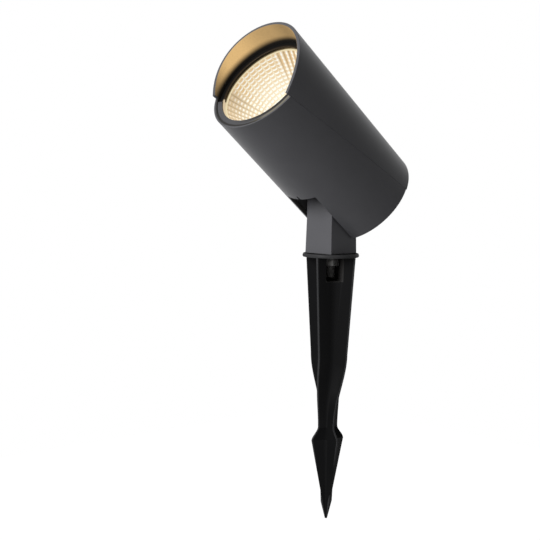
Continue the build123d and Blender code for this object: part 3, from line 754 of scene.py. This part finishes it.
def makeVisor():
    bm = tubeSheet()
    for vert in bm.verts:
        front = visorFront(vert.co.y)
        vert.co.z = shellSize["visorBack"] + vert.co.z * (front - shellSize["visorBack"])
    point, normal = seamPlane(1)
    cutSheet(bm, point, normal, clear=True)
    thicken(bm)
    weighEdges(bm, point, normal, shellSize["seamCrisp"])
    finishPiece(bm, "visorShell", "visorCoatPaintedLightShade", "head", ["visor_shell"], headPlace,
                soft=shellSize["soft"], weighted=True)


def cutSlot(bm):  # opening for the post, with a short slit in its front edge
    half, slit = shellSize["slotWidth"] / 2, shellSize["slitWidth"] / 2
    slotFront = shellSize["slotFront"]
    slitFront = slotFront + shellSize["slitLength"]
    for x in (-half, -slit, slit, half):
        bottom = [f for f in bm.faces if f.calc_center_median().y < 0]
        cutSheet(bm, (x, 0, 0), (1, 0, 0), faces=bottom)
    for z in (slotFront, slitFront):
        bottom = [f for f in bm.faces if f.calc_center_median().y < 0]
        bottom = [f for f in bottom if abs(f.calc_center_median().x) < half]
        cutSheet(bm, (0, 0, z), (0, 0, 1), faces=bottom)
    gone = []
    for face in bm.faces:
        spot = face.calc_center_median()
        inSlot = abs(spot.x) < half and spot.z < slotFront
        inSlit = abs(spot.x) < slit and spot.z < slitFront
        if spot.y < 0 and (inSlot or inSlit):
            gone.append(face)
    bmesh.ops.delete(bm, geom=gone, context="FACES")
    near = shellSize["cornerNear"]
    corners = [v for v in bm.verts if v.co.y < 0 and abs(abs(v.co.x) - half) < near
               and abs(v.co.z - slotFront) < near]
    bmesh.ops.bevel(
        bm, geom=corners, offset=shellSize["slotCorner"], segments=shellSize["cornerSteps"], profile=0.5,
        affect="VERTICES", material=-1,
    )


def makeLowerShell():
    bm = tubeSheet()
    front = shellSize["lowerFront"] - shellSize["trim"]
    for vert in bm.verts:
        vert.co.z = shellSize["lowerBack"] + vert.co.z * (front - shellSize["lowerBack"])
    point, normal = seamPlane(-1)
    cutSheet(bm, point, normal, clear=True)
    cutSlot(bm)
    thicken(bm)
    sides = shellSize["flangeSides"]
    flange = ringPrism(sides, headSize["radius"] - headSize["wall"], sides, shellSize["flangeBore"],
                       shellSize["flangeBack"], shellSize["flangeFront"])
    cutSheet(flange, point, normal + Vector((shellSize["flangeSlant"], 0, 0)), clear=True)
    bmesh.ops.holes_fill(flange, edges=[e for e in flange.edges if e.is_boundary], sides=0)
    joinInto(bm, flange)
    weighEdges(bm, point, normal, shellSize["seamSoft"])
    finishPiece(bm, "lowerShell", "rimCoatPaintedLightShade", "head", ["lower_shell"], headPlace,
                soft=shellSize["soft"], weighted=True)


makeVisor()
makeLowerShell()
print("shells made")


# Front: bezel ring, glass and reflector
frontSize = {
    "steps": 160, "bezelRadius": 35.35, "bezelOpening": 31.4, "bezelFront": 98.6, "bezelLip": 0.8,
    "bezelSoft": 0.25, "skirtBore": 34.05, "skirtBack": 86.0,
    "glassSides": 96, "glassRadius": 33.85, "glassBack": 95.8, "glassFront": 97.8, "glassSoft": 0.3,
}


def makeBezel():
    s = frontSize
    under = s["bezelFront"] - s["bezelLip"]
    bm = spinProfile([
        (s["skirtBore"], s["skirtBack"]), (s["bezelRadius"], s["skirtBack"]),
        (s["bezelRadius"], s["bezelFront"]), (s["bezelOpening"], s["bezelFront"]),
        (s["bezelOpening"], under), (s["skirtBore"], under),
    ], s["steps"])
    finishPiece(bm, "bezelRing", "bezel", "head", ["bezel_ring"], headPlace,
                soft=s["bezelSoft"])


def makeGlass():
    s = frontSize
    bm = roundRod(s["glassSides"], s["glassRadius"], s["glassBack"], s["glassFront"])
    softenEdges(bm, s["glassSoft"])
    finishPiece(bm, "frontGlass", "glass", "head", ["front_glass"], headPlace)


reflectorSize = {
    "perCell": 4, "pillow": 0.32, "lipWidth": 0.8, "lipThickness": 1.0, "wall": 1.6, "near": 0.05,
    "smooth": 25.0,
}


def mirrorRadius(share):
    throat, mouth = mirrorLook["throat"], mirrorLook["mouth"]
    return math.sqrt(throat**2 + (mouth**2 - throat**2) * share)


def makeReflector():
    s = reflectorSize
    back, front = mirrorLook["back"], mirrorLook["front"]
    rows = mirrorLook["rings"] * s["perCell"]
    inner = [(mirrorRadius(i / rows), back + (front - back) * i / rows) for i in range(rows + 1)]
    lip = mirrorLook["mouth"] + s["lipWidth"]
    waist = (mirrorRadius(0.5) + s["wall"], (back + front) / 2)
    outer = [(lip, front), (lip, front - s["lipThickness"]), waist, (mirrorLook["throat"] + s["wall"], back)]
    bm = spinProfile(inner + outer, mirrorLook["columns"] * s["perCell"])
    for vert in bm.verts:  # each cell swells towards the axis
        radius = math.hypot(vert.co.x, vert.co.y)
        share = (vert.co.z - back) / (front - back)
        if abs(radius - mirrorRadius(share)) > s["near"]:
            continue
        column = math.atan2(vert.co.y, vert.co.x) / (2 * math.pi) * mirrorLook["columns"]
        across = abs(math.sin(math.pi * column))
        along = abs(math.sin(math.pi * share / mirrorLook["cells"] * mirrorLook["rings"]))
        factor = 1 - s["pillow"] * math.sqrt(across * along) / radius
        vert.co.x *= factor
        vert.co.y *= factor
    finishPiece(bm, "reflector", "mirror", "head", ["reflector"], headPlace,
                smooth=s["smooth"])


makeBezel()
makeGlass()
makeReflector()
print("front made")


# Post: square bar with a round knuckle, wider towards its foot
postSize = {
    "width": 24.0, "foot": 2.4, "footWidth": 25.0, "footNear": 0.01, "shoulder": 26.4, "knuckleSteps": 48,
    "soft": 0.5,
}


def makePost():
    half, centre = postSize["width"] / 2, pivot.z / mm
    bm = bmesh.new()
    foot = bm.verts.new((-half, half, postSize["foot"]))
    start = bm.verts.new((-half, half, centre))
    spun = bmesh.ops.spin(bm, geom=[start], cent=(0, 0, centre), axis=(1, 0, 0), angle=math.pi,
                          steps=postSize["knuckleSteps"])
    end = [g for g in spun["geom_last"] if isinstance(g, bmesh.types.BMVert)][0]
    toe = bm.verts.new((-half, -half, postSize["foot"]))
    for pair in ((foot, start), (end, toe), (toe, foot)):
        bm.edges.new(pair)
    side = bmesh.ops.contextual_create(bm, geom=bm.edges[:])["faces"]
    pushFaces(bm, side, (2 * half, 0, 0))
    cutSheet(bm, (0, 0, postSize["shoulder"]), (0, 0, 1))
    lowest = [v for v in bm.verts if v.co.z < postSize["foot"] + postSize["footNear"]]
    spread = postSize["footWidth"] / postSize["width"]
    bmesh.ops.scale(bm, vec=(spread, spread, 1), verts=lowest)
    finishPiece(bm, "post", "coat", "post", ["post"], soft=postSize["soft"])


makePost()


# Ground spike, with the stud, nut and washer in its pocket
spikeSize = {
    "soft": 0.3, "collarRadius": 19.4, "collarBand": 0.1, "collarMiddle": 1.0,
    "collarCuts": (0.4, 0.8, 1.2, 1.6), "bulge": 0.255,
}
studSize = {
    "radius": 3.0, "root": 2.6, "pitch": 1.0, "low": -15.0, "high": 18.4, "turnSteps": 24, "merge": 0.002,
}
nutSize = {"sides": 6, "width": 10.0, "boreSides": 24, "bore": 3.05, "low": -6.2, "high": -1.2, "soft": 0.5}
washerSize = {"sides": 48, "radius": 5.8, "bore": 3.1, "low": -1.2, "high": -0.05, "soft": 0.2}


def makeSpike():
    s = spikeSize
    bm = copyOfNode("ground_spike")
    bmesh.ops.scale(bm, vec=(1 / mm, 1 / mm, 1 / mm), verts=bm.verts)
    for height in s["collarCuts"]:
        cutSheet(bm, (0, 0, height), (0, 0, 1))
    for vert in bm.verts:  # rounded rim
        radius = math.hypot(vert.co.x, vert.co.y)
        if radius > s["collarRadius"] - s["collarBand"]:
            factor = 1 - s["bulge"] * (vert.co.z - s["collarMiddle"])**2 / radius
            vert.co.x *= factor
            vert.co.y *= factor
    finishPiece(bm, "groundSpike", "plastic", "spike", ["ground_spike"], soft=s["soft"])


def makeStud():
    s = studSize
    turns = int((s["high"] - s["low"]) / s["pitch"]) - 1
    thread = ((s["root"], 0), (s["radius"], s["pitch"] / 2), (s["root"], s["pitch"]))
    bm = bmesh.new()
    verts = [bm.verts.new((r, 0, z)) for r, z in thread]
    edges = [bm.edges.new(pair) for pair in zip(verts, verts[1:])]
    bmesh.ops.spin(
        bm, geom=verts + edges, cent=(0, 0, 0), axis=(0, 0, 1), angle=2 * math.pi * turns,
        steps=turns * s["turnSteps"], dvec=(0, 0, s["pitch"] / s["turnSteps"]),
    )
    bmesh.ops.remove_doubles(bm, verts=bm.verts, dist=s["merge"])
    bmesh.ops.holes_fill(bm, edges=[e for e in bm.edges if e.is_boundary], sides=0)
    bmesh.ops.translate(bm, verts=bm.verts, vec=(0, 0, s["low"]))
    finishPiece(bm, "spikeStud", "dullSteel", "post", ["spike_stud"])


def makeNut():
    s = nutSize
    bm = ringPrism(s["sides"], s["width"] / math.sqrt(3), s["boreSides"], s["bore"], s["low"], s["high"])
    softenEdges(bm, s["soft"])
    finishPiece(bm, "spikeNut", "dullSteel", "post", ["spike_nut"])


def makeWasher():
    s = washerSize
    bm = ringPrism(s["sides"], s["radius"], s["sides"], s["bore"], s["low"], s["high"])
    softenEdges(bm, s["soft"])
    finishPiece(bm, "spikeWasher", "dullSteel", "post", ["spike_washer"])


makeSpike()
makeStud()
makeNut()
makeWasher()
print("post and spike made")


# Back: cover, screws and cable gland
backSize = {
    "coverSoft": 0.3, "cover": -19.0, "screwPlace": 32.4, "screwAngles": (40.0, 140.0, -8.0, 188.0),
    "sides": 32, "screwHead": 2.7, "headHeight": 1.9, "headSoft": 0.35, "headSoftSteps": 3,
    "socketSides": 6, "socket": 1.45, "socketDepth": 1.2, "shaft": 1.5, "shaftLength": 15.0,
}
glandSize = {
    "height": 14.0, "sides": 32, "neck": 6.0, "neckBack": -29.0, "front": -11.7, "bore": 3.6,
    "hexSides": 6, "hexWidth": 15.0, "hexTurn": 30.0, "hexBack": -23.0, "hexFront": -19.0, "hexSoft": 0.5,
    "capRadius": 8.0, "capBack": -33.1, "capFront": -23.1, "capSoft": 0.5, "capPlay": 0.1, "seat": -31.5,
    "capRound": ((2.6, 0.0), (1.0, 0.9), (0.2, 2.6), (0.0, 3.2)),
    "ribs": 18, "ribSteps": 6, "ribDepth": 0.35, "ribBand": 0.1, "smooth": 50.0,
}


def makeCover():
    bm = copyOfNode("rear_cover")
    finishPiece(bm, "rearCover", "coat", "head", ["rear_cover"], Matrix.Identity(4),
                soft=backSize["coverSoft"])


def makeScrews():
    s = backSize
    low = s["cover"] - s["headHeight"]
    floor = low + s["socketDepth"]
    rods = ((s["screwHead"], floor, s["cover"]), (s["shaft"], s["cover"], s["cover"] + s["shaftLength"]))
    bm = bmesh.new()
    for angle in s["screwAngles"]:
        turn = math.radians(angle)
        centre = (s["screwPlace"] * math.cos(turn), s["screwPlace"] * math.sin(turn))
        head = ringPrism(s["sides"], s["screwHead"], s["socketSides"], s["socket"], low, floor, centre)
        softenEdges(head, s["headSoft"], s["headSoftSteps"])
        joinInto(bm, head)
        for radius, start, end in rods:
            joinInto(bm, roundRod(s["sides"], radius, start, end, centre))
    finishPiece(bm, "rearScrews", "steel", "head", ["rear_screws"], headPlace)


def makeGland():
    s = glandSize
    centre = Matrix.Translation((0, s["height"], 0))
    body = ringPrism(s["hexSides"], s["hexWidth"] / math.sqrt(3), s["sides"], s["neck"],
                     s["hexBack"], s["hexFront"], turn=math.radians(s["hexTurn"]))
    softenEdges(body, s["hexSoft"])
    joinInto(body, ringPrism(s["sides"], s["neck"], s["sides"], s["bore"], s["neckBack"], s["front"]))
    finishPiece(body, "glandBody", "nylon", "head", ["cable_gland_body"], headPlace @ centre)
    hollow = s["neck"] + s["capPlay"]
    dome = [(s["capRadius"] - inward, s["capBack"] + along) for inward, along in s["capRound"]]
    cap = spinProfile([
        (s["bore"], s["capBack"]), *dome,
        (s["capRadius"], s["capFront"] - s["capSoft"]), (s["capRadius"] - s["capSoft"], s["capFront"]),
        (hollow, s["capFront"]), (hollow, s["seat"]), (s["bore"], s["seat"]),
    ], s["ribs"] * s["ribSteps"])
    for vert in cap.verts:  # grip ribs
        radius = math.hypot(vert.co.x, vert.co.y)
        if radius > s["capRadius"] - s["ribBand"]:
            wave = 0.5 - 0.5 * math.cos(s["ribs"] * math.atan2(vert.co.y, vert.co.x))
            factor = 1 - s["ribDepth"] * wave / radius
            vert.co.x *= factor
            vert.co.y *= factor
    finishPiece(cap, "glandNut", "nylon", "head", ["cable_gland_nut"], headPlace @ centre,
                smooth=s["smooth"])


makeCover()
makeScrews()
makeGland()
print("back made")


# Inner pieces keep their shape and get their finish
innerFinishes = {
    "housing_core": "cast", "pivot_bolt": "steel", "pivot_nut": "steel", "pivot_washers": "steel",
    "friction_washers": "nylon", "rear_gasket": "rubber", "cable_gland_seal": "rubber",
    "cable_gland_locknut": "nylon", "thermal_pad": "pad", "led_board": "ledBoard", "led_emitter": "phosphor",
    "led_holder": "whiteNylon", "led_holder_screws": "steel", "led_leads": "lead", "glass_gasket": "litSeal",
    "driver_board": "board", "driver_screws": "steel", "driver_transformer": "tape",
    "driver_capacitors": "sleeve", "driver_terminals": "whiteNylon",
}
for node, finish in innerFinishes.items():
    nodes[node].data.materials.clear()
    nodes[node].data.materials.append(finishes[finish])
print("inner pieces painted")


# Studio: pale floor under the tip, white surroundings, soft lights
studio = {
    "floorDrop": 0.0005, "floorSize": 0.6, "floorColour": (0.49, 0.5), "floorCloud": (3.0, 2.0),
    "floorGlow": 1.11, "floorSeen": 0.88, "world": 0.1,
    "patches": (  # pale fields behind the object, on its left and on its right
        ((-0.727, 0.681, -0.088), (0.4, 0.8), 0.98),
        ((-0.7, -0.71, 0.0), (0.4, 0.8), 0.7),
        ((0.966, -0.26, -0.05), (0.6, 0.8), 0.28),
    ),
    "lights": (  # place, size, power, seen in reflections
        ("keyLight", (-0.02, -1.55, 0.6), 1.2, 47.0, True),
        ("backFill", (-0.3, 1.5, 0.6), 1.2, 10.0, False),
    ),
}


def makeFloor():
    look = newFinish("paleFloor")
    cloud = look.noise(*studio["floorCloud"])
    tone = look.blend(cloud, *[grey(level) for level in studio["floorColour"]])
    matt = look.add("ShaderNodeBsdfDiffuse", None, {"Color": tone})
    glow = look.add("ShaderNodeEmission", None, {"Color": grey(1.0), "Strength": studio["floorGlow"]})
    mixed = look.add("ShaderNodeMixShader", None, {0: look.seen() * studio["floorSeen"], 1: matt, 2: glow})
    look.add("ShaderNodeOutputMaterial", None, {"Surface": mixed})
    bm = bmesh.new()
    bmesh.ops.create_grid(bm, x_segments=2, y_segments=2, size=studio["floorSize"] / 2)
    bmesh.ops.translate(bm, verts=bm.verts, vec=(0, 0, cadLow.z - studio["floorDrop"]))
    mesh = bpy.data.meshes.new("floor")
    bm.to_mesh(mesh)
    bm.free()
    floor = bpy.data.objects.new("floor", mesh)
    mesh.materials.append(look.material)
    bpy.context.scene.collection.objects.link(floor)


def makeWorld():
    world = bpy.data.worlds.new("studio")
    bpy.context.scene.world = world
    sky = Finish(world)
    way = sky.add("ShaderNodeTexCoord", output="Generated")
    tone = grey(studio["world"])
    for side, edge, level in studio["patches"]:
        tone = sky.blend(sky.dot(way, side).rise(*edge), tone, grey(level))
    around = sky.add("ShaderNodeBackground", None, {"Color": tone})
    white = sky.add("ShaderNodeBackground", None, {"Color": grey(1.0)})
    mixed = sky.add("ShaderNodeMixShader", None, {0: sky.seen(), 1: around, 2: white})
    sky.add("ShaderNodeOutputWorld", None, {"Surface": mixed})


def makeLights():
    for name, place, size, power, mirrored in studio["lights"]:
        lamp = bpy.data.lights.new(name, "AREA")
        lamp.shape = "DISK"
        lamp.size = size
        lamp.energy = power
        lampObject = bpy.data.objects.new(name, lamp)
        lampObject.location = place
        lampObject.visible_glossy = mirrored
        lampObject.rotation_mode = "QUATERNION"
        lampObject.rotation_quaternion = (axisPoint - Vector(place)).to_track_quat("-Z", "Y")
        bpy.context.scene.collection.objects.link(lampObject)


# Camera at the photograph's place
cameraView = {
    "azimuth": 46.91, "elevation": 5.04, "roll": 0.83, "place": (0.6322, -0.6483, 0.0699),
    "focal": 1321.4, "frame": 540.0, "sensor": 36.0, "clip": (0.01, 50.0),
}


def makeCamera():
    az, el = math.radians(cameraView["azimuth"]), math.radians(cameraView["elevation"])
    back = Vector((math.sin(az) * math.cos(el), -math.cos(az) * math.cos(el), math.sin(el)))
    across = Vector((0, 0, 1)).cross(back).normalized()
    up = back.cross(across)
    roll = math.radians(cameraView["roll"])
    right = across * math.cos(roll) + up * math.sin(roll)
    top = up * math.cos(roll) - across * math.sin(roll)
    data = bpy.data.cameras.new("camera")
    data.sensor_width = cameraView["sensor"]
    data.lens = cameraView["focal"] / cameraView["frame"] * data.sensor_width
    data.clip_start, data.clip_end = cameraView["clip"]
    camera = bpy.data.objects.new("camera", data)
    turned = Matrix((right, top, back)).transposed().to_4x4()
    camera.matrix_world = Matrix.Translation(cameraView["place"]) @ turned
    bpy.context.scene.collection.objects.link(camera)
    bpy.context.scene.camera = camera


makeFloor()
makeWorld()
makeLights()
makeCamera()
bpy.context.scene.view_settings.view_transform = "Standard"
print("studio made")
